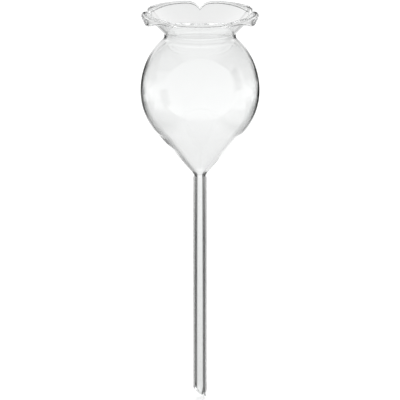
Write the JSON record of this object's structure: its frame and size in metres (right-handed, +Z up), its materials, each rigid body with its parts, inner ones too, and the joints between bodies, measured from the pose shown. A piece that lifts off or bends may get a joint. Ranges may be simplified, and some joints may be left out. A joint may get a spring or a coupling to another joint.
{
  "type": "watering globe",
  "caption": "Clear glass plant watering globe: open petal mouth on a blown reservoir globe, drawn down to a thick bored stem cut on a slant for pushing into soil.",
  "frame": {"origin": "on the stem's axis, level with the lowest point of its slanted tip", "axes": "+Z up along the stem's axis towards the petal mouth; the slanted cut faces -X, and one notch of the mouth faces +Y"},
  "size_m": [0.08, 0.08, 0.2697],
  "materials": {
    "mouth_glass": "clear, fire-polished lip",
    "globe_glass": "clear, blown smooth",
    "stem_glass": "clear drawn tube, lightly flame-polished cut"
  },
  "bodies": {
    "root": {"petal_mouth": "mouth_glass", "reservoir_globe": "globe_glass", "feed_stem": "stem_glass"}
  },
  "joints": []
}
